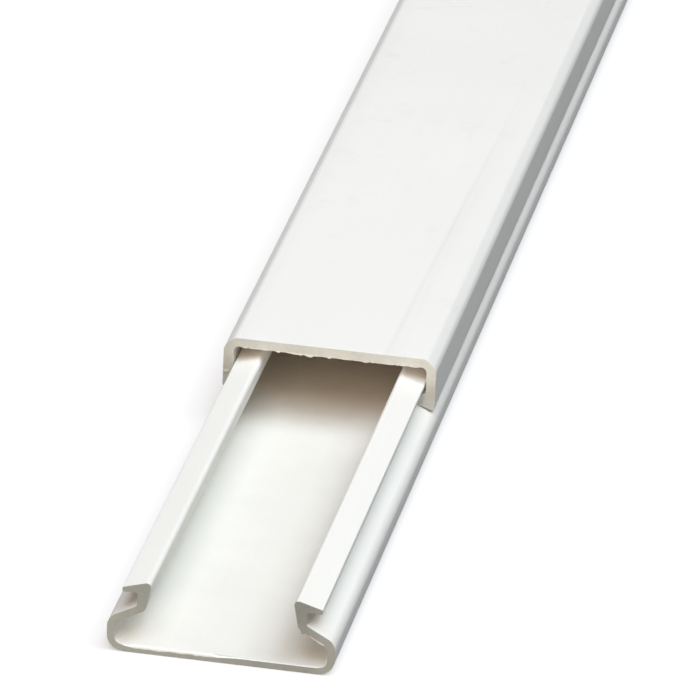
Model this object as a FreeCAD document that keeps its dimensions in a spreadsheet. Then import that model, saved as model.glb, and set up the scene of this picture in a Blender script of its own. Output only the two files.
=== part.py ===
# Two-piece surface raceway for hiding cords, in rigid white PVC.
#
# Both pieces are straight extrusions with one constant section.
# The base channel screws or sticks to a wall by its flat underside. Each of its side walls rises,
# folds inwards as a sloping shoulder, turns up as a thick neck and ends in a lip that points outwards.
# The snap cover is a shallow bevelled tray turned over. A toe inside the foot of each leg hooks
# under the lip, and the foot stands on the shoulder. The cover is pushed back along the base,
# so that the first stretch of the base lies open.
#
# Millimetres. +Y runs along the raceway, +Z is up, away from the wall.
# The origin is on the underside of the base, halfway along it.

import FreeCAD, Part
import os
from enum import IntEnum
import Sketcher
from FreeCAD import Vector

# Every driving size, with what it measures. Angles are in degrees.
SIZES = [
    ("base_length", 1524.0, "length of the base channel, a five foot stick"),
    ("cover_length", 1524.0, "length of the snap cover"),
    ("cover_setback", 83.0, "open stretch of the base in front of the cover"),
    ("base_width", 33.3, "base, over the outer walls"),
    ("floor_thickness", 1.1, "floor of the base"),
    ("wall_thickness", 1.1, "outer wall and shoulder of the base"),
    ("floor_corner_radius", 1.1, "inside corner between floor and outer wall"),
    ("floor_edge_radius", 2.5, "outside of the same corner, under the base"),
    ("shoulder_height", 5.1, "outer wall, up to where it would meet the slope of the shoulder"),
    ("shoulder_angle", 28.0, "slope of the shoulder"),
    ("shoulder_radius", 0.9, "inside corner between outer wall and shoulder"),
    ("neck_thickness", 2.1, "neck, measured across its sharp top corner"),
    ("neck_lean", 11.0, "lean of the inner face of the neck from upright"),
    ("neck_radius", 1.0, "inside corner between neck and shoulder"),
    ("groove_radius", 0.45, "both corners at the back of the groove"),
    ("lip_edge_thickness", 0.7, "outer edge of the lip"),
    ("lip_slope", 16.0, "fall of the lip's top face towards its edge"),
    ("lip_edge_radius", 0.25, "corners of the lip's outer edge"),
    ("crown_radius", 0.7, "top inner corner of the lip"),
    ("cover_inset", 0.35, "step from the outer wall of the base in to the cover"),
    ("leg_thickness", 1.5, "legs of the cover"),
    ("leg_clearance", 0.2, "play between a leg and the edge of the lip"),
    ("snap_engagement", 1.0, "how far a toe reaches under the lip"),
    ("toe_clearance", 1.25, "play between a toe and the back of the groove"),
    ("toe_height", 1.2, "nose of the toe"),
    ("toe_rise", 0.7, "rise of the toe's top face towards the leg"),
    ("toe_radius", 0.3, "corners of the toe"),
    ("foot_slope", 20.0, "slope of the underside of the foot"),
    ("foot_radius", 0.6, "outer corner of the foot"),
    ("seat_gap", 0.1, "toe above the shoulder that it stands on"),
    ("catch_gap", 0.7, "play between the toe and the lip above it"),
    ("headroom", 1.5, "cover's ceiling above the sharp top corner of the lip"),
    ("plate_thickness", 1.4, "flat top of the cover"),
    ("bevel_width", 1.6, "bevel along the cover's top edges, across"),
    ("bevel_height", 1.5, "bevel along the cover's top edges, down"),
    ("bevel_edge_radius", 0.5, "soft edges of the bevel"),
    ("cover_corner_radius", 0.9, "inside corner between ceiling and leg"),
]

ON_CORNER = 0.001


class Point(IntEnum):
    """How a sketch numbers the ends of a line."""
    START = 1
    END = 2


class Datum(IntEnum):
    """How a sketch numbers its own axes. Its origin is the start of the level one."""
    LEVEL_AXIS = -1
    UPRIGHT_AXIS = -2


ORIGIN_POINT = (Datum.LEVEL_AXIS, Point.START)


# The sides of the right half of each section and where they start, roughly, as sketched by eye
# in whole millimetres. The dimensions then bring the outline to size.
# Sides run on from one to the next. The first starts and the last ends on the middle line.
BASE_DRAFT = [
    ("underside", 0, 0), ("outer_wall", 17, 0), ("shoulder", 17, 5), ("groove_back", 12, 7),
    ("lip_underside", 12, 9), ("lip_edge", 15, 9), ("lip_top", 15, 10), ("neck", 10, 12),
    ("shoulder_underside", 11, 7), ("inner_wall", 16, 4), ("floor", 16, 1),
]
COVER_DRAFT = [
    ("top", 0, 14), ("bevel", 15, 14), ("outer_face", 16, 13), ("foot", 16, 6),
    ("toe_nose", 14, 7), ("toe_top", 14, 8), ("inner_face", 15, 9), ("ceiling", 15, 13),
]


def make_sheet(doc):
    sheet = doc.addObject("Spreadsheet::Sheet", "Sizes")
    for row, (alias, value, meaning) in enumerate(SIZES, start=1):
        sheet.set(f"A{row}", alias)
        sheet.set(f"B{row}", str(value))
        sheet.setAlias(f"B{row}", alias)
        sheet.set(f"C{row}", meaning)
    doc.recompute()


class Section:
    """A section drawn on the body's upright cross plane: the right half, and its mirror image.

    The right half is dimensioned from the sheet, and the left half is held symmetric to it.
    """

    def __init__(self, body, name, draft):
        plane = next(p for p in body.Origin.OriginFeatures if p.Role == "XZ_Plane")
        self.sketch = body.newObject("Sketcher::SketchObject", name)
        self.sketch.AttachmentSupport = [(plane, "")]
        self.sketch.MapMode = "FlatFace"
        self.sides = {side: index for index, (side, _, _) in enumerate(draft)}
        corners = [(x, y) for _, x, y in draft]
        corners.append((0, corners[-1][1]))
        self.draw_chain(corners)
        self.draw_chain([(-x, y) for x, y in corners])
        self.mirror(len(draft))

    def draw_chain(self, corners):
        """Draws joined lines through the corners."""
        for number, (start, end) in enumerate(zip(corners, corners[1:])):
            line = self.sketch.addGeometry(Part.LineSegment(Vector(*start, 0), Vector(*end, 0)))
            if number:
                self.add("Coincident", line - 1, Point.END, line, Point.START)

    def mirror(self, count):
        """Joins the two chains at the middle line, and holds every other corner symmetric about it."""
        self.add("Coincident", 0, Point.START, count, Point.START)
        self.add("Coincident", count - 1, Point.END, 2 * count - 1, Point.END)
        self.add("PointOnObject", 0, Point.START, Datum.UPRIGHT_AXIS)
        self.add("PointOnObject", count - 1, Point.END, Datum.UPRIGHT_AXIS)
        for side in range(count - 1):
            self.add("Symmetric", side, Point.END, side + count, Point.END, Datum.UPRIGHT_AXIS)

    def add(self, kind, *where):
        return self.sketch.addConstraint(Sketcher.Constraint(kind, *where))

    def level(self, *sides):
        for side in sides:
            self.add("Horizontal", self.sides[side])

    def upright(self, *sides):
        for side in sides:
            self.add("Vertical", self.sides[side])

    def dimension(self, name, kind, where, expression):
        """Adds a named dimension whose value follows the sheet."""
        value = self.sketch.evalExpression(expression)
        value = getattr(value, "Value", value)
        unit = FreeCAD.Units.Quantity(f"{value} deg" if kind == "Angle" else f"{value} mm")
        index = self.add(kind, *where, unit)
        self.sketch.renameConstraint(index, name)
        self.sketch.setExpression(f"Constraints.{name}", expression)

    def measure(self, name, where):
        """Adds a height that is only read, for another section to use."""
        height = self.sketch.getPoint(*where[2:]).y - self.sketch.getPoint(*where[:2]).y
        index = self.add("DistanceY", *where, height)
        self.sketch.renameConstraint(index, name)
        self.sketch.setDriving(index, False)

    def start(self, side):
        return self.sides[side], Point.START

    def end(self, side):
        return self.sides[side], Point.END

    def corner(self, side):
        """Where a side starts, as solved."""
        point = self.sketch.Geometry[self.sides[side]].StartPoint
        return point.x, point.y


def draw_base_section(body):
    s = Section(body, "base_section", BASE_DRAFT)
    s.level("underside", "lip_underside", "floor")
    s.upright("outer_wall", "groove_back", "lip_edge", "inner_wall")
    s.add("PointOnObject", *s.start("underside"), Datum.LEVEL_AXIS)
    s.dimension("half_width", "DistanceX", s.start("underside") + s.end("underside"), "Sizes.base_width / 2")
    s.dimension("floor", "DistanceY", ORIGIN_POINT + s.start("floor"), "Sizes.floor_thickness")
    s.dimension("wall", "DistanceX", s.start("inner_wall") + s.start("outer_wall"), "Sizes.wall_thickness")
    s.dimension("shoulder_height", "DistanceY", s.start("outer_wall") + s.end("outer_wall"),
                "Sizes.shoulder_height")
    s.dimension("shoulder_slope", "Angle", (s.sides["shoulder"],), "180 - Sizes.shoulder_angle")
    # Parallel faces, as far apart along the shoulder as along the wall.
    s.dimension("underside_slope", "Angle", (s.sides["shoulder_underside"],), "360 - Sizes.shoulder_angle")
    s.dimension("shoulder_wall", "DistanceY", s.start("inner_wall") + s.start("shoulder"),
                "Sizes.wall_thickness * tan((90 - Sizes.shoulder_angle) / 2 * 1 deg)")
    # The cover's leg passes outside the lip, and its toe goes in under the lip.
    s.dimension("lip_edge_inset", "DistanceX", s.start("lip_edge") + s.end("outer_wall"),
                "Sizes.cover_inset + Sizes.leg_thickness + Sizes.leg_clearance")
    s.dimension("groove_depth", "DistanceX", s.start("groove_back") + s.start("lip_edge"),
                "Sizes.snap_engagement + Sizes.toe_clearance")
    # The point of the shoulder under the nose of the toe.
    s.sketch.addGeometry(Part.Point(s.sketch.getPoint(*s.end("shoulder"))), True)
    seat = (s.sketch.GeometryCount - 1, Point.START)
    s.add("PointOnObject", *seat, s.sides["shoulder"])
    s.dimension("seat_inset", "DistanceX", seat + s.start("lip_edge"), "Sizes.snap_engagement")
    s.dimension("groove_opening", "DistanceY", seat + s.start("lip_edge"),
                "Sizes.seat_gap + Sizes.toe_height + Sizes.toe_rise + Sizes.catch_gap")
    s.dimension("lip_edge", "DistanceY", s.start("lip_edge") + s.end("lip_edge"), "Sizes.lip_edge_thickness")
    s.dimension("lip_fall", "Angle", (s.sides["lip_top"],), "180 - Sizes.lip_slope")
    s.dimension("neck", "DistanceX", s.start("neck") + s.start("groove_back"), "Sizes.neck_thickness")
    s.dimension("neck_lean", "Angle", (s.sides["neck"],), "270 + Sizes.neck_lean")
    s.measure("seat_height", ORIGIN_POINT + seat)
    s.measure("crown_height", ORIGIN_POINT + s.start("neck"))
    return s


def draw_cover_section(body):
    s = Section(body, "cover_section", COVER_DRAFT)
    s.level("top", "ceiling")
    s.upright("outer_face", "toe_nose", "inner_face")
    s.dimension("half_width", "DistanceX", ORIGIN_POINT + s.start("outer_face"),
                "Sizes.base_width / 2 - Sizes.cover_inset")
    s.dimension("leg", "DistanceX", s.start("inner_face") + s.start("outer_face"), "Sizes.leg_thickness")
    s.dimension("ceiling_height", "DistanceY", ORIGIN_POINT + s.start("ceiling"),
                "base_section.Constraints.crown_height + Sizes.headroom * 1 mm")
    s.dimension("plate", "DistanceY", s.start("ceiling") + s.start("top"), "Sizes.plate_thickness")
    s.dimension("bevel_across", "DistanceX", s.start("bevel") + s.end("bevel"), "Sizes.bevel_width")
    s.dimension("bevel_down", "DistanceY", s.end("bevel") + s.start("bevel"), "Sizes.bevel_height")
    # The toe stands on the shoulder of the base.
    s.dimension("toe_floor", "DistanceY", ORIGIN_POINT + s.start("toe_nose"),
                "base_section.Constraints.seat_height + Sizes.seat_gap * 1 mm")
    s.dimension("toe_reach", "DistanceX", s.start("toe_nose") + s.start("inner_face"),
                "Sizes.leg_clearance + Sizes.snap_engagement")
    s.dimension("toe_height", "DistanceY", s.start("toe_nose") + s.end("toe_nose"), "Sizes.toe_height")
    s.dimension("toe_rise", "DistanceY", s.start("toe_top") + s.end("toe_top"), "Sizes.toe_rise")
    s.dimension("foot_slope", "Angle", (s.sides["foot"],), "180 - Sizes.foot_slope")
    return s


def extrude(body, section, name, length):
    pad = body.newObject("PartDesign::Pad", name)
    pad.Profile = section.sketch
    pad.Reversed = True
    pad.Refine = True
    pad.setExpression("Length", length)
    body.Document.recompute()
    return pad


def round_corners(body, section, name, corners, radius):
    """Rounds the lengthwise edges, left and right, where the named sides start."""
    before = body.Tip
    wanted = [section.corner(side) for side in corners]
    found = []
    for number, edge in enumerate(before.Shape.Edges, start=1):
        near, far = edge.Vertexes[0].Point, edge.Vertexes[-1].Point
        if abs(near.y - far.y) < ON_CORNER:
            continue
        if any(abs(abs(near.x) - x) < ON_CORNER and abs(near.z - z) < ON_CORNER for x, z in wanted):
            found.append(f"Edge{number}")
    if len(found) != 2 * len(wanted):
        raise RuntimeError(f"{name}: found {len(found)} of {2 * len(wanted)} edges")
    fillet = body.newObject("PartDesign::Fillet", name)
    fillet.Base = (before, found)
    fillet.setExpression("Radius", radius)
    body.Tip = fillet
    body.Document.recompute()


def make_base_channel(doc):
    body = doc.addObject("PartDesign::Body", "base_channel")
    section = draw_base_section(body)
    doc.recompute()
    extrude(body, section, "base_extrusion", "Sizes.base_length")
    round_corners(body, section, "floor_outer_corner", ["outer_wall"], "Sizes.floor_edge_radius")
    round_corners(body, section, "floor_inner_corner", ["floor"], "Sizes.floor_corner_radius")
    round_corners(body, section, "shoulder_outer_corner", ["shoulder"],
                  "Sizes.shoulder_radius + Sizes.wall_thickness")
    round_corners(body, section, "shoulder_inner_corner", ["inner_wall"], "Sizes.shoulder_radius")
    round_corners(body, section, "neck_corner", ["shoulder_underside"], "Sizes.neck_radius")
    round_corners(body, section, "groove_corners", ["groove_back", "lip_underside"], "Sizes.groove_radius")
    round_corners(body, section, "crown_corner", ["neck"], "Sizes.crown_radius")
    round_corners(body, section, "lip_edge_corners", ["lip_edge", "lip_top"],
                  "min(Sizes.lip_edge_radius; Sizes.lip_edge_thickness / 2.5)")
    body.setExpression("Placement.Base.y", "-Sizes.base_length / 2")
    return body


def make_snap_cover(doc):
    body = doc.addObject("PartDesign::Body", "snap_cover")
    section = draw_cover_section(body)
    doc.recompute()
    extrude(body, section, "cover_extrusion", "Sizes.cover_length")
    round_corners(body, section, "bevel_edges", ["bevel", "outer_face"], "Sizes.bevel_edge_radius")
    round_corners(body, section, "ceiling_corner", ["ceiling"], "Sizes.cover_corner_radius")
    round_corners(body, section, "foot_corner", ["foot"], "Sizes.foot_radius")
    round_corners(body, section, "toe_corners", ["toe_nose", "toe_top", "inner_face"],
                  "min(Sizes.toe_radius; Sizes.toe_height / 2.5)")
    body.setExpression("Placement.Base.y", "-Sizes.base_length / 2 + Sizes.cover_setback")
    return body


def check(doc, bodies):
    """Stops on a failed feature, and on a piece that isn't one sound solid."""
    doc.recompute()
    for item in doc.Objects:
        if "Invalid" in item.State or "Error" in item.State:
            raise RuntimeError(f"{item.Name} failed: {item.State}")
    for body in bodies:
        shape = body.Shape
        if shape.isNull() or not shape.isValid() or len(shape.Solids) != 1:
            raise RuntimeError(f"{body.Label} is not one valid solid")


def write_parts(bodies):
    os.makedirs("parts", exist_ok=True)
    for body in bodies:
        body.Shape.exportStep(f"parts/{body.Label}.step")
        box = body.Shape.BoundBox
        print(f"{body.Label}: {box.XLength:.2f} x {box.YLength:.2f} x {box.ZLength:.2f} mm,"
              f" section {body.Shape.Volume / box.YLength:.2f} mm2, {len(body.Shape.Faces)} faces")


def main():
    doc = FreeCAD.newDocument("cord_raceway")
    make_sheet(doc)
    bodies = [make_base_channel(doc), make_snap_cover(doc)]
    check(doc, bodies)
    write_parts(bodies)


main()
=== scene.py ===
# %% [markdown]
# Cord cover raceway
#
# A raceway hides cords along a wall. It is two white PVC extrusions: a channel that is stuck to
# the wall, and a cover that snaps over the channel's two lips. Here the cover is pushed back,
# so that the first few centimetres of the channel lie open.
#
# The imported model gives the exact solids. Its meshes are coarse on the small roundings, because
# they are made for a stick a metre and a half long, so both extrusions are modelled again here,
# with finer roundings and with the rough edges that a saw leaves.

import math
import random

import bmesh
import bpy
from mathutils import Matrix, Vector


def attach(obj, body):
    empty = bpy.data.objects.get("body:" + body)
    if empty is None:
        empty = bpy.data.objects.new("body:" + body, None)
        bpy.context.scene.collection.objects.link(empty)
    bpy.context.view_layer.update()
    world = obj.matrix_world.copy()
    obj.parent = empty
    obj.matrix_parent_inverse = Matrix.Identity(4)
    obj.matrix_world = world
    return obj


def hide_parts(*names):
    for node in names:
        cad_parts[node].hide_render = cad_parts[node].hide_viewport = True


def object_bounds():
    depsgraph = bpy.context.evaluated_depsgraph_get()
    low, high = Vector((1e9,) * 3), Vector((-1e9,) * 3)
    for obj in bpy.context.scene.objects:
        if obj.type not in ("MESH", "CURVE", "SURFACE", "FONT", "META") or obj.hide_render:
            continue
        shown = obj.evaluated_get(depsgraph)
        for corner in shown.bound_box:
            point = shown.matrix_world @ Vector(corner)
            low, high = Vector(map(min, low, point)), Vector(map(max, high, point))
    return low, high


MM = 0.001


def in_mm(box):
    """The two corners of a box in millimetres, to be printed."""
    return [[round(value / MM, 2) for value in corner] for corner in box]


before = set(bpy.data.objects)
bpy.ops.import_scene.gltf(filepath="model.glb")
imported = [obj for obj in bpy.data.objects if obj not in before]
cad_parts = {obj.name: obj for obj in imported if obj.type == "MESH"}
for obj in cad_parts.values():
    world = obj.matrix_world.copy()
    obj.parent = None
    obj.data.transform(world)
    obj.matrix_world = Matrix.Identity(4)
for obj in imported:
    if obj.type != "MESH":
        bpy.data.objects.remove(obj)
cad_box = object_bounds()
print("CAD box in mm:", in_mm(cad_box))

# %% [markdown]
# The camera stands in front of the open end, a little to the right, and looks down along the
# raceway. It has a long lens and stands more than a metre away, which is why the two long edges
# of the channel hardly run together in the picture. It is also tipped slightly, as a hand-held
# one would be.
#
# A direction, a height angle and a tip are easier to read than a rotation matrix, so the three
# axes of the camera are worked out from those angles.

# %% Camera
CAMERA_PLACE = Vector((215.3586, -1967.6444, 581.1823)) * MM
CAMERA_TURN = math.radians(-9.3723)
CAMERA_DOWN = math.radians(23.4474)
CAMERA_TIP = math.radians(2.7861)
LENS = 489.442
SENSOR = 36


def camera_axes(turn, down, tip):
    """The camera's right, up and back directions."""
    ahead = Vector((math.sin(turn) * math.cos(down), math.cos(turn) * math.cos(down), -math.sin(down)))
    level = Vector((math.cos(turn), -math.sin(turn), 0))
    upright = level.cross(ahead)
    right = level * math.cos(tip) + upright * math.sin(tip)
    up = upright * math.cos(tip) - level * math.sin(tip)
    return right, up, -ahead


camera_data = bpy.data.cameras.new("camera")
camera_data.lens = LENS
camera_data.sensor_width = SENSOR
camera_data.clip_start = 0.05
camera_data.clip_end = 100
camera = bpy.data.objects.new("camera", camera_data)
bpy.context.scene.collection.objects.link(camera)
camera.matrix_world = (
    Matrix.Translation(CAMERA_PLACE)
    @ Matrix(camera_axes(CAMERA_TURN, CAMERA_DOWN, CAMERA_TIP)).transposed().to_4x4()
)
bpy.context.scene.camera = camera
cad_open_end = Vector((0, cad_box[0][1], 0))
print("camera is", round((CAMERA_PLACE - cad_open_end).length, 2), "m from the open end")

# %% [markdown]
# Nothing here needs drawing by eye: the sizes are the ones that the solids were made with.
# They are the walls, angles and gaps that a die maker would put on the drawing, and every corner
# of the two sections follows from them.

# %% Sizes of the channel
BASE_LENGTH = 1524 * MM
BASE_HALF = 33.3 / 2 * MM
FLOOR = 1.1 * MM
WALL = 1.1 * MM
SHOULDER_HEIGHT = 5.1 * MM
SHOULDER_ANGLE = math.radians(28)
NECK = 2.1 * MM
NECK_LEAN = math.radians(11)
LIP_EDGE = 0.7 * MM
LIP_SLOPE = math.radians(16)

# %% Sizes of the cover
COVER_LENGTH = 1524 * MM
SETBACK = 83 * MM
COVER_HALF = BASE_HALF - 0.35 * MM
LEG = 1.5 * MM
LEG_CLEARANCE = 0.2 * MM
SNAP = 1.0 * MM
TOE_CLEARANCE = 1.25 * MM
TOE_HEIGHT = 1.2 * MM
TOE_RISE = 0.7 * MM
FOOT_SLOPE = math.radians(20)
SEAT_GAP = 0.1 * MM
CATCH_GAP = 0.7 * MM
HEADROOM = 1.5 * MM
PLATE = 1.4 * MM
BEVEL_WIDTH = 1.6 * MM
BEVEL_HEIGHT = 1.5 * MM

# %% Widths and heights that follow from them
leg_inside = COVER_HALF - LEG
lip_tip = leg_inside - LEG_CLEARANCE
toe_tip = lip_tip - SNAP
neck_outside = toe_tip - TOE_CLEARANCE
neck_inside = neck_outside - NECK


def shoulder_top(x):
    """Height of the shoulder's upper face at x from the middle."""
    return SHOULDER_HEIGHT + (BASE_HALF - x) * math.tan(SHOULDER_ANGLE)


def shoulder_underside(x):
    """Height of its lower face, a wall's thickness away."""
    return shoulder_top(x) - WALL / math.cos(SHOULDER_ANGLE)


toe_bottom = shoulder_top(toe_tip) + SEAT_GAP
toe_top = toe_bottom + TOE_HEIGHT
toe_root = toe_top + TOE_RISE
foot_bottom = toe_bottom - (COVER_HALF - toe_tip) * math.tan(FOOT_SLOPE)
lip_underside = toe_root + CATCH_GAP
lip_top = lip_underside + LIP_EDGE
crown = lip_top + (lip_tip - neck_inside) * math.tan(LIP_SLOPE)
ceiling = crown + HEADROOM
cover_top = ceiling + PLATE
print("cover stands", round(cover_top / MM, 2), "mm high; lips", round(crown / MM, 2), "mm")

# The inner face of the neck leans, so its foot is where that line meets the shoulder's underside.
lean = math.tan(NECK_LEAN)
rise = math.tan(SHOULDER_ANGLE)
neck_foot_x = neck_inside + (crown - shoulder_underside(neck_inside)) * lean / (1 - lean * rise)
neck_foot_z = shoulder_underside(neck_foot_x)
wall_inside = BASE_HALF - WALL
print("neck foot at", round(neck_foot_x / MM, 2), round(neck_foot_z / MM, 2))

# %% [markdown]
# An extrusion has one section all along, so each piece starts as half of that section, drawn flat
# where the stick begins. By hand that is a small plane for the first wall. Its end edge is
# extruded once for each further wall, and the two new points are dragged to where that wall
# ends. The walls are then dissolved into one face, the corners rounded, and the half mirrored.
#
# Rounding the corners while the section is still flat is simpler than bevelling long edges
# later: each corner gets its own radius, and the long faces come out clean.

# %% Helpers for working in edit mode
TINY = 0.001 * MM


def start_fresh():
    """Back to object mode with nothing selected, because an operator acts on all that is."""
    if bpy.context.mode != "OBJECT":
        bpy.ops.object.mode_set(mode="OBJECT")
    bpy.ops.object.select_all(action="DESELECT")


def take(piece):
    """Select this piece alone, in object mode, and make it the active one."""
    start_fresh()
    piece.select_set(True)
    bpy.context.view_layer.objects.active = piece


def edit(piece):
    """Start editing this piece alone."""
    take(piece)
    bpy.ops.object.mode_set(mode="EDIT")


def pick(kind, wanted):
    """Select the points, edges or faces of the piece being edited for which wanted says yes."""
    bpy.ops.mesh.select_all(action="DESELECT")
    bpy.ops.mesh.select_mode(type=kind)
    mesh = bmesh.from_edit_mesh(bpy.context.object.data)
    parts = {"VERT": mesh.verts, "EDGE": mesh.edges, "FACE": mesh.faces}[kind]
    found = [part for part in parts if wanted(part)]
    for part in found:
        part.select_set(True)
    mesh.select_flush_mode()
    bmesh.update_edit_mesh(bpy.context.object.data)
    return len(found)


def at(place):
    """A test for pick: is this point at the place?"""
    return lambda point: (point.co - place).length < 2 * TINY


def drag(old, new):
    """Move the one point at old to new."""
    if pick("VERT", at(old)) != 1:
        raise ValueError(f"no single point at {old}")
    bpy.ops.transform.translate(value=new - old)


# %% Drawing half a section
# Where the outline turns by less than this it is straight, and the point there is dissolved.
STRAIGHT = math.radians(0.3)


def draw_half_section(name, y, stations):
    """Half a section at y. Each station is the end of a wall: its outer and its inner corner."""
    places = [[Vector((x, y, z)) for x, z in station] for station in stations]
    (outer, inner), (next_outer, next_inner) = places[0], places[1]
    width = next_outer.x - outer.x
    height = abs(outer.z - inner.z)
    start_fresh()
    bpy.ops.mesh.primitive_plane_add(
        size=1,
        location=(outer.x + width / 2, y, (outer.z + inner.z) / 2),
        rotation=(math.radians(90), 0, 0),
    )
    piece = bpy.context.object
    piece.name = name
    piece.data.name = name
    piece.scale = (width, height, 1)
    bpy.ops.object.transform_apply(location=True, rotation=True, scale=True)
    bpy.ops.object.mode_set(mode="EDIT")
    drag(Vector((next_outer.x, y, inner.z)), next_inner)
    for (outer, inner), (next_outer, next_inner) in zip(places[1:], places[2:]):
        # The wall goes on from the edge between the last two corners.
        pick("EDGE", lambda edge: all(at(outer)(p) or at(inner)(p) for p in edge.verts))
        bpy.ops.mesh.extrude_edges_indiv()
        step = (next_outer + next_inner - outer - inner) / 2
        bpy.ops.transform.translate(value=step)
        drag(outer + step, next_outer)
        drag(inner + step, next_inner)
    bpy.ops.mesh.select_all(action="SELECT")
    bpy.ops.mesh.dissolve_limited(angle_limit=STRAIGHT)
    return piece


# %% The channel's half section
OPEN_END = -BASE_LENGTH / 2
base_walls = [
    ((0, 0), (0, FLOOR)),
    ((BASE_HALF, 0), (wall_inside, FLOOR)),
    ((BASE_HALF, SHOULDER_HEIGHT), (wall_inside, shoulder_underside(wall_inside))),
    ((neck_outside, shoulder_top(neck_outside)), (neck_foot_x, neck_foot_z)),
    ((neck_outside, lip_underside), (neck_inside, crown)),
    ((lip_tip, lip_underside), (lip_tip, lip_top)),
]
channel = draw_half_section("channel_extrusion", OPEN_END, base_walls)
print("channel half section:", len(bmesh.from_edit_mesh(channel.data).verts), "corners")


# %% [markdown]
# A corner of radius r that turns by an angle starts r times the tangent of half that angle before
# the sharp corner. The bevel tool asks for just that distance, so the helper measures the turn
# at the corner and works the distance out.

# %% Rounding the corners of a flat section
ROUNDING_STEPS = 7


def round_corner(y, corner, radius):
    """Round the section's corner at (x, z), and say how far before it the rounding starts."""
    place = Vector((corner[0], y, corner[1]))
    if pick("VERT", at(place)) != 1:
        raise ValueError(f"no corner at {corner}")
    mesh = bmesh.from_edit_mesh(bpy.context.object.data)
    point = next(p for p in mesh.verts if p.select)
    arms = [edge.other_vert(point).co - point.co for edge in point.link_edges]
    turn = math.pi - arms[0].angle(arms[1])
    reach = radius * math.tan(turn / 2)
    bpy.ops.mesh.bevel(
        offset=reach, offset_type="OFFSET", segments=ROUNDING_STEPS, profile=0.5,
        affect="VERTICES", clamp_overlap=False,
    )
    return reach


def round_corners(y, corners):
    """Round all these corners of the section, given as name: (corner, radius)."""
    for what, (corner, radius) in corners.items():
        reach = round_corner(y, corner, radius)
        print(f"{what}: radius {radius / MM:.2f} mm, starts {reach / MM:.2f} mm before the corner")


FLOOR_CORNER_RADIUS = 1.1 * MM
base_corners = {
    "floor edge": (base_walls[1][0], 2.5 * MM),
    "floor corner": (base_walls[1][1], FLOOR_CORNER_RADIUS),
    "shoulder outside": (base_walls[2][0], 2.0 * MM),
    "shoulder inside": (base_walls[2][1], 0.9 * MM),
    "back of the groove, low": (base_walls[3][0], 0.45 * MM),
    "neck foot": (base_walls[3][1], 1.0 * MM),
    "back of the groove, high": (base_walls[4][0], 0.45 * MM),
    "crown": (base_walls[4][1], 0.7 * MM),
    "lip edge, low": (base_walls[5][0], 0.25 * MM),
    "lip edge, high": (base_walls[5][1], 0.25 * MM),
}
round_corners(OPEN_END, base_corners)


# %% Mirroring the half and drawing it out to its length
def mirror_and_extrude(piece, length):
    """Mirror the half section across the middle and draw the whole one out along +Y."""
    take(piece)
    mirror = piece.modifiers.new("other half", "MIRROR")
    mirror.use_axis = (True, False, False)
    mirror.use_mirror_merge = True
    mirror.merge_threshold = TINY
    bpy.ops.object.modifier_apply(modifier=mirror.name)
    bpy.ops.object.mode_set(mode="EDIT")
    bpy.ops.mesh.select_all(action="SELECT")
    bpy.ops.mesh.dissolve_limited(angle_limit=STRAIGHT)
    bpy.ops.mesh.select_all(action="SELECT")
    bpy.ops.mesh.extrude_region_move(TRANSFORM_OT_translate={"value": (0, length, 0)})
    bpy.ops.mesh.select_all(action="SELECT")
    bpy.ops.mesh.remove_doubles(threshold=TINY)
    bpy.ops.mesh.normals_make_consistent(inside=False)


mirror_and_extrude(channel, BASE_LENGTH)
print("channel:", len(bmesh.from_edit_mesh(channel.data).faces), "faces")

# %% [markdown]
# The cover is drawn in the same way: top plate, bevel, leg, and the toe that hooks under the lip.

# %% The cover's section, drawn out
COVER_START = OPEN_END + SETBACK
bevel_start = COVER_HALF - BEVEL_WIDTH
cover_walls = [
    ((0, cover_top), (0, ceiling)),
    # The inner point of this station is on the flat ceiling and no corner of the section.
    ((bevel_start, cover_top), (bevel_start - 0.5 * MM, ceiling)),
    ((COVER_HALF, cover_top - BEVEL_HEIGHT), (leg_inside, ceiling)),
    ((COVER_HALF, foot_bottom), (leg_inside, toe_root)),
    ((toe_tip, toe_bottom), (toe_tip, toe_top)),
]
cover = draw_half_section("cover_extrusion", COVER_START, cover_walls)
print("cover half section:", len(bmesh.from_edit_mesh(cover.data).verts), "corners")

CEILING_CORNER_RADIUS = 0.9 * MM
cover_corners = {
    "upper edge of the bevel": (cover_walls[1][0], 1.2 * MM),
    "lower edge of the bevel": (cover_walls[2][0], 1.6 * MM),
    "ceiling corner": (cover_walls[2][1], CEILING_CORNER_RADIUS),
    "foot": (cover_walls[3][0], 0.6 * MM),
    "toe root": (cover_walls[3][1], 0.3 * MM),
    "toe nose, low": (cover_walls[4][0], 0.3 * MM),
    "toe nose, high": (cover_walls[4][1], 0.3 * MM),
}
round_corners(COVER_START, cover_corners)
mirror_and_extrude(cover, COVER_LENGTH)
print("cover:", len(bmesh.from_edit_mesh(cover.data).faces), "faces")


# %% [markdown]
# The sticks were cut with a saw. The cut leaves the edge a little blunt, and plastic that the
# teeth dragged along hangs from it as a thin torn flap. It is easiest to see under the top
# plate of the cover, against the dark, and on the underside of the channel's right shoulder.
#
# The blunt edge is a tiny bevel all round each cut. For a flap, the last half millimetre of the
# stick is parted off with bisect, so that nothing behind it moves. The edges across that strip
# are subdivided, the faces of the tiny bevel are extruded, and the new points are pulled away
# from the plastic one column after another, each by its own depth.

# %% Blunt edges all round the cuts
EDGE_BREAK = 0.06 * MM
STRIP = 0.5 * MM


def blunt_cut(y):
    """A small bevel all round the cut at y."""
    count = pick("EDGE", lambda edge: all(abs(p.co.y - y) < TINY for p in edge.verts))
    bpy.ops.mesh.bevel(offset=EDGE_BREAK, segments=2, affect="EDGES", clamp_overlap=False)
    return count


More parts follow.
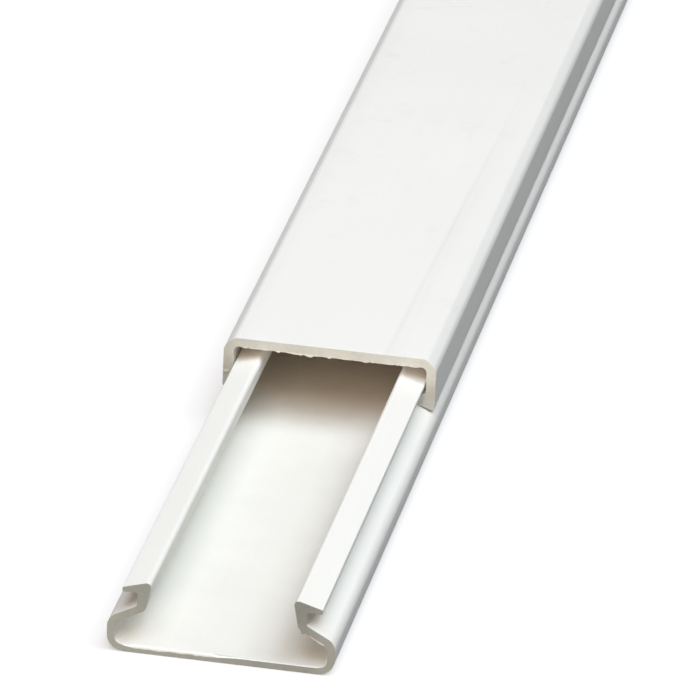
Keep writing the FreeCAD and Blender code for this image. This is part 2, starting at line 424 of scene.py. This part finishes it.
for piece, start, length in ((channel, OPEN_END, BASE_LENGTH), (cover, COVER_START, COVER_LENGTH)):
    edit(piece)
    counts = [blunt_cut(y) for y in (start, start + length)]
    print(piece.name, "has", counts, "edges round its cuts")
    bpy.ops.mesh.select_all(action="SELECT")
    bpy.ops.mesh.bisect(plane_co=(0, start + STRIP, 0), plane_no=(0, 1, 0))


# %% Dividing a straight stretch of the edge
def divide(y, start, end, cuts, again=0):
    """Subdivide the long edges between start and end, both (x, z), in the strip behind the cut.

    One subdivide makes at most 100 cuts, so each of its parts can be divided again."""
    first = Vector((start[0], 0, start[1]))
    along = Vector((end[0], 0, end[1])) - first
    length = along.length
    along.normalize()

    def gap(point):
        """How far the point is from the line between start and end."""
        place = Vector((point.co.x, 0, point.co.z)) - first
        return (place - along * place.dot(along)).length

    def beside_line(full):
        """A test for pick: an edge beside that line, in the strip and about as long as full."""
        def test(edge):
            near = all(abs(p.co.y - y) < STRIP * 1.01 for p in edge.verts)
            beside = all(gap(p) < 2 * EDGE_BREAK for p in edge.verts)
            across = abs(edge.verts[0].co.y - edge.verts[1].co.y) < TINY
            return near and beside and across and edge.calc_length() > 0.9 * full
        return test

    rows = pick("EDGE", beside_line(length))
    bpy.ops.mesh.subdivide(number_cuts=cuts)
    if again:
        pick("EDGE", beside_line(length / (cuts + 1)))
        bpy.ops.mesh.subdivide(number_cuts=again)
    return rows


# %% Where the points behind the edge are, and which way they look
# A face that looks along the stick by less than this is one of the long sides.
SIDEWAYS = 0.1


def outward_directions(y):
    """Where each point behind the blunt edge looks, away from the plastic."""
    mesh = bmesh.from_edit_mesh(bpy.context.object.data)
    found = []
    for point in mesh.verts:
        sides = [face.normal for face in point.link_faces if abs(face.normal.y) < SIDEWAYS]
        if sides and abs(point.co.y - y - EDGE_BREAK) < TINY:
            found.append((point.co.copy(), sum(sides, Vector()).normalized()))
    return found


def next_back(point, points, way=1):
    """The point's neighbour among points that lies further along y, or nearer with way=-1."""
    for edge in point.link_edges:
        other = edge.other_vert(point)
        if other in points and way * (other.co.y - point.co.y) > 5 * TINY:
            return other
    return None


def columns_of(points):
    """The points in columns, each from the front one to the one furthest behind the cut.

    The columns come in the order of their places, so that each run tears the same flap."""
    columns = []
    for point in sorted(points, key=lambda point: tuple(point.co)):
        if next_back(point, points, -1):
            continue
        column = [point]
        while next_back(column[-1], points):
            column.append(next_back(column[-1], points))
        columns.append(column)
    return columns


# %% Tearing a flap out of the edge
# A cut's own face looks this straight along the stick; those of the blunt edge turn away.
CUT_FACE = 0.99
CURL_DEPTH = 0.05 * MM
LEAST_DEPTH = 0.015 * MM


def tear(y, wanted, depth_at, drawn_out=True, curl=0):
    """Tear a flap out of the cut at y where wanted(x, z) says yes, depth_at(x) deep.

    Without drawn_out the edge itself is pulled, as a burr of the cut face. A curled flap
    first steps back from the cut by curl and then leans forward again, so it faces upwards."""
    directions = outward_directions(y)

    def on_blunt_edge(face):
        middle = face.calc_center_median()
        between = all(-TINY < p.co.y - y < EDGE_BREAK + TINY for p in face.verts)
        return between and abs(face.normal.y) < CUT_FACE and wanted(middle.x, middle.z)

    if not pick("FACE", on_blunt_edge):
        raise ValueError("no edge to tear a flap from")
    # Each pull has a depth, or None for the flap's own, and how far it goes along the stick.
    pulls = ((CURL_DEPTH, curl), (None, -curl)) if curl else ((None, 0),)
    for fixed, shift in pulls:
        if drawn_out:
            bpy.ops.mesh.extrude_region_move()
        mesh = bmesh.from_edit_mesh(bpy.context.object.data)
        flap_faces = {face.index for face in mesh.faces if face.select}
        moves = []
        for column in columns_of({p for p in mesh.verts if p.select}):
            last = column[-1].co
            away = min(directions, key=lambda known: (known[0] - last).length)[1]
            depth = fixed or max(depth_at(last.x), LEAST_DEPTH)
            moves.append(({p.index for p in column}, away * depth + Vector((0, shift, 0))))
        for column, move in moves:
            pick("VERT", lambda point: point.index in column)
            bpy.ops.transform.translate(value=move)
        pick("FACE", lambda face: face.index in flap_faces)
    return len(moves)


# %% How deep each place of a flap is torn
def burrs(seed, small, *large):
    """A depth for each place along x: small random ones, and large ones (x, half width, depth).

    A large one has its full depth round its middle and thins out towards both sides."""
    chance = random.Random(seed)

    def depth_at(x):
        depth = small * chance.random() ** 2
        for middle, half_width, most in large:
            close = 1 - abs(x - middle) / half_width
            if close > 0:
                depth = max(depth, most * min(1, 1.6 * close) * chance.uniform(0.45, 1))
        return depth

    return depth_at


# %% The flap under the cover's top plate
edit(cover)
CEILING_END = leg_inside - CEILING_CORNER_RADIUS
rows = divide(COVER_START, (-CEILING_END, ceiling), (CEILING_END, ceiling), 90, again=2)
print("rows subdivided under the plate:", rows)
count = tear(
    COVER_START,
    lambda x, z: abs(x) < CEILING_END - 0.2 * MM and abs(z - ceiling) < 2 * EDGE_BREAK,
    burrs(
        4, 0.17 * MM,
        (-7.9 * MM, 0.25 * MM, 0.36 * MM), (-5.0 * MM, 1.3 * MM, 0.36 * MM),
        (-3.2 * MM, 0.9 * MM, 0.46 * MM), (-0.1 * MM, 0.5 * MM, 0.26 * MM),
        (2.4 * MM, 1.0 * MM, 0.17 * MM), (5.4 * MM, 0.6 * MM, 0.28 * MM),
        (9.0 * MM, 0.8 * MM, 0.15 * MM),
    ),
    curl=0.03 * MM,
)
print("columns torn under the plate:", count)

# %% The flap and the burr under the channel's right shoulder
edit(channel)
# The roundings at both ends of the shoulder's underside take a part of its straight slope.
NECK_FOOT_ROUNDING = 0.42 * MM
WALL_ROUNDING = 0.48 * MM
slope_start = neck_foot_x + NECK_FOOT_ROUNDING
slope_end = wall_inside - WALL_ROUNDING
rows = divide(
    OPEN_END, (slope_start, shoulder_underside(slope_start)),
    (slope_end, shoulder_underside(slope_end)), 44,
)
print("rows subdivided under the shoulder:", rows)
BURR_PLACE = 11.85 * MM
count = tear(
    OPEN_END,
    lambda x, z: abs(x - BURR_PLACE) < 0.45 * MM and abs(z - shoulder_underside(x)) < 0.2 * MM,
    burrs(3, 0, (BURR_PLACE, 0.4 * MM, 0.50 * MM)),
    drawn_out=False,
)
print("columns pulled into the burr:", count)
FLAP_START = 12.8 * MM
FLAP_FOOT = 3.6 * MM
count = tear(
    OPEN_END,
    lambda x, z: x > FLAP_START and FLAP_FOOT < z < shoulder_underside(x) + 0.1 * MM,
    burrs(
        7, 0.10 * MM,
        (13.4 * MM, 0.6 * MM, 0.16 * MM), (14.4 * MM, 0.8 * MM, 0.26 * MM),
        (15.4 * MM, 0.4 * MM, 0.22 * MM),
    ),
    curl=0.10 * MM,
)
print("columns torn under the shoulder:", count)

# %% [markdown]
# The upper edge of the channel's floor is rubbed down on the left, which shows as a pale rim.
# The same columns of points make that: those on the cut go down, those behind it go back.

# %% The worn edge of the floor
FLOOR_END = wall_inside - FLOOR_CORNER_RADIUS
FLOOR_CUTS = 90
WEAR_IN_THE_MIDDLE = 0.20
LEAST_WEAR = 0.07
MOST_WEAR = 0.42
# Each row of points behind the cut: how far back and down it goes, as shares of the wear,
# and between which distances behind the cut it lies, in widths of the blunt edge.
WORN_ROWS = ((0, 1, -0.1, 0.1), (0.35, 0.35, 0.1, 0.5), (0.9, 0, 0.5, 2))
rows = divide(OPEN_END, (-FLOOR_END, FLOOR), (FLOOR_END, FLOOR), FLOOR_CUTS)
print("rows subdivided along the floor:", rows)
chance = random.Random(2)
step = 2 * FLOOR_END / (FLOOR_CUTS + 1)
wear = 0
for number in range(1, FLOOR_CUTS + 1):
    x = -FLOOR_END + number * step
    most = min(MOST_WEAR, max(LEAST_WEAR, WEAR_IN_THE_MIDDLE - x / (16 * MM))) * MM
    fade = min(1, (x + FLOOR_END) / (1 * MM))
    # Each place takes over a part of its neighbour's wear, so the rim is wavy and not jagged.
    wear = 0.6 * wear + 0.4 * most * fade * chance.uniform(0.6, 1.3)
    for back, down, nearest, furthest in WORN_ROWS:
        pick("VERT", lambda p: (
            abs(p.co.x - x) < step / 3
            and abs(p.co.z - FLOOR) < 2 * EDGE_BREAK
            and nearest < (p.co.y - OPEN_END) / EDGE_BREAK < furthest
        ))
        bpy.ops.transform.translate(value=(0, back * wear, -down * wear))

# %% [markdown]
# A crumb of sawn plastic still clings to the end of the cover's left leg. It is a small ball,
# squeezed and roughened, and joined to the cover.

# %% The crumb on the cover's left leg
CRUMB_PLACE = Vector((-15.8 * MM, COVER_START - 0.04 * MM, 8.65 * MM))
CRUMB_RADIUS = 0.34 * MM
CRUMB_SQUEEZE = (1.0, 0.6, 0.8)
CRUMB_ROUGHNESS = 0.05 * MM
start_fresh()
bpy.ops.mesh.primitive_ico_sphere_add(subdivisions=3, radius=CRUMB_RADIUS, location=CRUMB_PLACE)
crumb = bpy.context.object
crumb.scale = CRUMB_SQUEEZE
bpy.ops.object.transform_apply(location=True, rotation=True, scale=True)
bpy.ops.object.mode_set(mode="EDIT")
bpy.ops.mesh.select_all(action="SELECT")
bpy.ops.transform.vertex_random(offset=CRUMB_ROUGHNESS, seed=3)
take(cover)
crumb.select_set(True)
bpy.ops.object.join()
print("cover with its crumb:", len(cover.data.polygons), "faces")

# %% [markdown]
# Shader maths reads best as a formula, so a socket is wrapped in a small class that adds the
# Math node when two of them are added or multiplied.

# %% A socket that can be used in a formula
class Value:
    """A node's output in a material, for use in formulas."""

    def __init__(self, tree, socket):
        self.tree = tree
        self.socket = socket

    def node(self, kind, settings=None, sockets=None, out=0):
        """Add a node: its settings first, then the values or links of its sockets."""
        return add_node(self.tree, kind, settings, sockets, out)

    def math(self, operation, *others):
        """Add a Math node that works on this value and the others."""
        inputs = dict(enumerate((self, *others)))
        return self.node("ShaderNodeMath", {"operation": operation}, inputs)

    def __add__(self, other):
        return self.math("ADD", other)

    __radd__ = __add__

    def __mul__(self, other):
        return self.math("MULTIPLY", other)

    __rmul__ = __mul__

    def __sub__(self, other):
        return self.math("SUBTRACT", other)

    def __rsub__(self, other):
        minus = self.math("MULTIPLY", -1)
        return minus + other


def add_node(tree, kind, settings=None, sockets=None, out=0):
    """One node in a tree, and the output that is wanted of it."""
    node = tree.nodes.new(kind)
    for name, value in (settings or {}).items():
        setattr(node, name, value)
    for name, value in (sockets or {}).items():
        fill(tree, node.inputs[name], value)
    return Value(tree, node.outputs[out])


def fill(tree, socket, value):
    """Link a value to a socket, or set the socket to a number or colour."""
    if isinstance(value, Value):
        tree.links.new(value.socket, socket)
    else:
        socket.default_value = value


def feed(tree, shader, **sockets):
    """Link or set the shader's own sockets."""
    for name, value in sockets.items():
        fill(tree, shader.inputs[name.replace("_", " ")], value)


def new_material(name):
    """An empty material with its Principled shader, and the piece's own coordinates."""
    material = bpy.data.materials.new(name)
    material.use_nodes = True
    tree = material.node_tree
    shader = tree.nodes["Principled BSDF"]
    place = add_node(tree, "ShaderNodeTexCoord", out="Object")
    return material, tree, shader, place


# %% Nodes that all the finishes use
def axis(place, name):
    """One coordinate of the place: X, Y or Z."""
    return place.node("ShaderNodeSeparateXYZ", sockets={0: place}, out=name)


def drawn_along(place, share):
    """The place with Y shrunk to a share, which draws a pattern out along the stick."""
    return place.node("ShaderNodeMapping", sockets={"Vector": place, "Scale": (1, share, 1)})


def noise(place, scale, detail, roughness=0.5):
    """Clouds of random values round a half; the larger the scale, the finer they are."""
    return place.node("ShaderNodeTexNoise", sockets={
        "Vector": place, "Scale": scale, "Detail": detail, "Roughness": roughness,
    })


def shaded(colour, tint):
    """The colour made darker or lighter by the tint."""
    return tint.node("ShaderNodeVectorMath", {"operation": "SCALE"}, {0: colour, "Scale": tint})


def relief(height, strength, distance):
    """Fine bumps for the shader's normal."""
    return height.node("ShaderNodeBump", sockets={
        "Height": height, "Strength": strength, "Distance": distance,
    })


# %% Extruded PVC
def extruded_pvc(name, colour, marks):
    """White PVC as it comes from the die, with faint lines along its length.

    marks says from the place what this piece adds to its tint: its own marks and painted shade."""
    material, tree, shader, place = new_material(name)
    die_lines = noise(drawn_along(place, 0.004), 1400, 3, 0.6)
    clouds = noise(place, 45, 2)
    tint = (clouds - 0.5) * 0.05 + (die_lines - 0.5) * 0.03 + 1 + marks(place)
    feed(
        tree, shader, Base_Color=shaded(colour, tint), Roughness=0.60 + (die_lines - 0.5) * 0.2,
        Specular_IOR_Level=0.06, Normal=relief(die_lines, 0.25, 0.03 * MM),
    )
    return material


# %% [markdown]
# The cover was handled: a narrow rub mark runs along its top, right of the middle, and drifts
# outwards. There are a few grey smudges too, stronger further back. The whole cover is also
# painted darker further back, as painted shade for light that weakens along the stick, and it is a
# little darker towards the left edge. All are only a shade darker than the plastic.
# The floor of the channel is painted darker than its lips, in patches: painted shade for the hollow
# between the lips.
#
# A mark at one place across the stick is a narrow hump in X: one minus the distance from it,
# measured in half widths and cut off at nothing. A mark that comes in slowly is a ramp.

# %% Rub mark, smudges and painted shade
def hump(value, middle, half_width):
    """1 where value is at the middle, falling to 0 at half a width away."""
    away = (value - middle).math("ABSOLUTE") * (1 / half_width)
    return (1 - away).math("MAXIMUM", 0)


def ramp(value, none, full):
    """0 where value is at none, 1 where it is at full, even between them and level beyond."""
    share = (value - none) * (1 / (full - none))
    return share.math("MAXIMUM", 0).math("MINIMUM", 1)


RUB_LINE = 8.5 * MM
RUB_BAND = 9.4 * MM
RUB_DRIFT = 0.021


def handling_marks_and_shade(place):
    """What handling adds to the tint of the cover, and painted shade that darkens it further back."""
    x = axis(place, "X")
    y = axis(place, "Y")
    broken = noise(drawn_along(place, 0.05), 900, 3)
    beside = x - (y - COVER_START) * RUB_DRIFT
    line = hump(beside, RUB_LINE, 0.50 * MM) * broken
    band = hump(beside, RUB_BAND, 1.8 * MM) * broken
    rub = (line * -0.10 + band * -0.05) * ramp(y, -560 * MM, -615.6 * MM)
    left_edge = hump(x, -15.5 * MM, 4.5 * MM)
    # painted shade: the cover grows darker further back, standing for light that weakens along the
    # stick
    further = ramp(y, -680 * MM, -513.3 * MM)
    smudges = (noise(place, 110, 4, 0.6) - 0.62).math("MAXIMUM", 0)
    # marks here also holds that painted shade further back
    marks = rub + left_edge * -0.035 + further * -0.05
    return marks + smudges * (1 + further) * -0.25


def floor_painted_shade(place):
    """Painted shade: the channel's floor is darker in its tint, in patches; the lips and walls are not.
    """
    low = ramp(axis(place, "Z"), 4.5 * MM, 2.5 * MM)
    inside = ramp(axis(place, "X").math("ABSOLUTE"), wall_inside, wall_inside - 1 * MM)
    patches = noise(place, 160, 4)
    # painted shade: the floor low in the channel, inside the walls, is darker in patches
    return low * inside * (0.7 + patches * 0.6) * -0.105


base_pvc = extruded_pvc("base_pvc_extruded", (0.905, 0.908, 0.86), floor_painted_shade)
cover_pvc = extruded_pvc("cover_pvc_extruded", (0.882, 0.884, 0.848), handling_marks_and_shade)


# %% [markdown]
# Where the saw went through, the plastic is duller and mottled, with fine marks. Its grey is
# mostly painted shade, for ends that face away from the strongest lamps, and the two cuts aren't
# evenly grey: each piece says with a few ramps of painted shade where its own cut is paler.

# %% Sawn PVC
def sawn_pvc(name, colour, shade_at):
    """The same plastic where the saw went through.

    shade_at says from the place how much of the brightness is left, as painted shade."""
    material, tree, shader, place = new_material(name)
    marks = noise(place, 2500, 4)
    mottle = noise(place, 420, 3)
    tint = (marks - 0.5) * 0.15 + (mottle - 0.5) * 0.30 + 1
    feed(
        tree, shader, Base_Color=shaded(colour, tint * shade_at(place)), Roughness=0.65,
        Normal=relief(marks, 0.6, 0.06 * MM),
    )
    return material


def base_end_painted_shade(place):
    """Painted shade: the channel's cut is greyer to the right and up the necks, but not on the right
    wall.
    """
    x = axis(place, "X")
    up_the_neck = ramp(axis(place, "Z"), 5 * MM, 9 * MM)
    right_wall = ramp(x, 12.5 * MM, 14.5 * MM)
    return 1.02 - x * (0.13 / BASE_HALF) - up_the_neck * 0.15 + right_wall * 0.16


def cover_end_painted_shade(place):
    """Painted shade: the cover's cut is pale along the plate, greyer down both legs and greyest on the
    left.
    """
    up_the_leg = ramp(axis(place, "Z"), 7 * MM, 12.5 * MM)
    return 0.76 + up_the_leg * 0.26 + axis(place, "X") * (0.10 / COVER_HALF)


# painted shade: both sawn colours are much greyer than the plastic, to stand for the shade on the ends
base_sawn = sawn_pvc("base_pvc_sawn", (0.42, 0.478, 0.455), base_end_painted_shade)
cover_sawn = sawn_pvc("cover_pvc_sawn", (0.665, 0.715, 0.675), cover_end_painted_shade)


# %% Torn PVC
def torn_pvc(name, colour):
    """Thin plastic goes whiter where it was stretched and torn."""
    material, tree, shader, place = new_material(name)
    stretch = noise(place, 1800, 3)
    feed(tree, shader, Base_Color=shaded(colour, (stretch - 0.5) * 0.3 + 1), Roughness=0.6)
    return material


base_torn = torn_pvc("base_pvc_torn", (0.80, 0.87, 0.87))
cover_torn = torn_pvc("cover_pvc_torn", (0.91, 0.90, 0.87))


# %% Which faces are sawn and which are torn
# A face that looks along the stick by more than this belongs to a cut.
LOOKS_ALONG = 0.15
FLAP_REACH = 0.6 * MM
WEAR_REACH = 0.5 * MM


def sawn_through(face):
    """Is this face part of a cut, of the roughness round it or of the crumb?"""
    on_crumb = (face.calc_center_median() - CRUMB_PLACE).length < CRUMB_RADIUS * 1.2
    return on_crumb or abs(face.normal.y) > LOOKS_ALONG


def frayed(face):
    """Is this small face on a flap or on the worn edge of the channel's floor?"""
    x, y, z = face.calc_center_median()
    under_plate = abs(x) < CEILING_END and -FLAP_REACH < z - ceiling < TINY
    under_shoulder = slope_start < x < slope_end and -FLAP_REACH < z - shoulder_underside(x) < TINY
    on_floor_edge = abs(x) < FLOOR_END and -WEAR_REACH < z - FLOOR < TINY
    return (
        (under_plate or under_shoulder or on_floor_edge)
        and y < 0 and abs(face.normal.y) > LOOKS_ALONG and face.calc_area() < MM * MM
    )


# %% Finishing a piece
SMOOTH_BELOW = math.radians(32)


def give(piece, slot_number, wanted):
    """Give the material in a slot to the faces for which wanted says yes."""
    count = pick("FACE", wanted)
    piece.active_material_index = slot_number
    bpy.ops.object.material_slot_assign()
    return count


def finish_piece(piece, materials, node):
    """Give extruded, sawn and torn PVC, smooth the roundings and tie the piece to the model."""
    for material in materials:
        piece.data.materials.append(material)
    edit(piece)
    ends = give(piece, 1, sawn_through)
    torn_faces = give(piece, 2, frayed)
    take(piece)
    bpy.ops.object.shade_smooth_by_angle(angle=SMOOTH_BELOW)
    weighted = piece.modifiers.new("flat faces stay flat", "WEIGHTED_NORMAL")
    weighted.keep_sharp = True
    bpy.ops.object.modifier_apply(modifier=weighted.name)
    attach(piece, "root")
    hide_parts(node)
    print(piece.name, "has", ends, "sawn and", torn_faces, "torn of", len(piece.data.polygons), "faces")


finish_piece(channel, (base_pvc, base_sawn, base_torn), "base_channel")
finish_piece(cover, (cover_pvc, cover_sawn, cover_torn), "snap_cover")

# %% [markdown]
# Studio: a pale floor and a ring of big soft lights. The strongest stands on the right, so
# the lips and bevels that lean that way are the whitest. A second one in front and above lights
# all that faces up. Low fills from the front and the left are weak, which keeps the sawn ends
# grey, and those in front are warm: only their light reaches in under the cover, where the
# plastic looks brown.
#
# The floor and the world behind it are white to the eye, but they throw hardly any light on the
# part: what the camera sees of them and what they give as light are mixed apart.

# %% Floor
FLOOR_SIZE = 120
FLOOR_GAP = 0.1 * MM
start_fresh()
bpy.ops.mesh.primitive_plane_add(size=FLOOR_SIZE, location=(0, 0, -FLOOR_GAP))
floor = bpy.context.object
floor.name = "studio_floor"
bpy.ops.object.transform_apply(location=True, rotation=True, scale=True)


def seen_or_mirrored(tree):
    """1 for what the camera sees, directly or in gloss or glass, and 0 for light that lands."""
    kinds = [add_node(tree, "ShaderNodeLightPath", out=out) for out in
             ("Is Camera Ray", "Is Glossy Ray", "Is Transmission Ray")]
    return kinds[0].math("MAXIMUM", kinds[1]).math("MAXIMUM", kinds[2])


def mixed(share, plain, other):
    """The plain colour where share is 0 and the other where it is 1."""
    return share.node("ShaderNodeMix", {"data_type": "RGBA"}, {0: share, 6: plain, 7: other}, out=2)


BLACK = (0, 0, 0, 1)
WHITE = (1, 1, 1, 1)
FLOOR_SEEN = (0.55, 0.55, 0.55, 1)
FLOOR_OWN_LIGHT = 0.5
FLOOR_BOUNCE = (0.06, 0.06, 0.055, 1)
floor_material = bpy.data.materials.new("studio_floor")
floor_material.use_nodes = True
tree = floor_material.node_tree
seen = seen_or_mirrored(tree)
feed(
    tree, tree.nodes["Principled BSDF"], Base_Color=mixed(seen, FLOOR_BOUNCE, FLOOR_SEEN),
    Roughness=1.0, Specular_IOR_Level=0.0,
    Emission_Color=mixed(seen, BLACK, WHITE), Emission_Strength=FLOOR_OWN_LIGHT,
)
floor.data.materials.append(floor_material)

# %% World
world = bpy.data.worlds.new("studio")
bpy.context.scene.world = world
world.use_nodes = True
tree = world.node_tree
world_colour = mixed(seen_or_mirrored(tree), BLACK, WHITE)
feed(tree, tree.nodes["Background"], Color=world_colour, Strength=1)

# %% Light
KEY = (0.92, 1.0, 1.08)
WARM = (1.05, 0.59, 0.29)
LAMP_WIDTH = math.radians(36)
# Each lamp's height and its turn from the front to the right, in degrees, colour and strength.
LAMPS = {
    "softbox_right": (62, 90, KEY, 1.48),
    "softbox_front": (55, 12, KEY, 1.24),
    "fill_front": (32, 0, WARM, 0.76),
    "fill_low_front": (12, 0, WARM, 0.46),
    "fill_low_left": (12, 300, KEY, 0.55),
}


def hang_lamp(name, kind, colour, strength):
    """A new lamp in the scene, and its settings."""
    settings = bpy.data.lights.new(name, kind)
    settings.color = colour
    settings.energy = strength
    lamp = bpy.data.objects.new(name, settings)
    bpy.context.scene.collection.objects.link(lamp)
    return lamp, settings


for lamp_name, (height, round_to, colour, strength) in LAMPS.items():
    up = math.radians(height)
    turn = math.radians(round_to)
    towards_lamp = Vector((math.sin(turn) * math.cos(up), -math.cos(turn) * math.cos(up), math.sin(up)))
    lamp, settings = hang_lamp(lamp_name, "SUN", colour, strength)
    settings.angle = LAMP_WIDTH
    lamp.rotation_mode = "QUATERNION"
    lamp.rotation_quaternion = towards_lamp.to_track_quat("Z", "Y")

# %% [markdown]
# The softbox overhead is a real disc of light above the stick, a little in front of the open
# end. Its light weakens along the stick, so the top of the cover is palest near the camera.

# %% The softbox overhead
OVERHEAD_PLACE = Vector((0, -1.05, 1.4))
OVERHEAD_STRENGTH = 0.6612
power = OVERHEAD_STRENGTH * math.pi * OVERHEAD_PLACE.z ** 2
lamp, settings = hang_lamp("softbox_above", "AREA", KEY, power)
settings.shape = "DISK"
settings.size = 2 * OVERHEAD_PLACE.z * math.tan(LAMP_WIDTH / 2)
lamp.location = OVERHEAD_PLACE

# %% View
bpy.context.scene.view_settings.view_transform = "Standard"
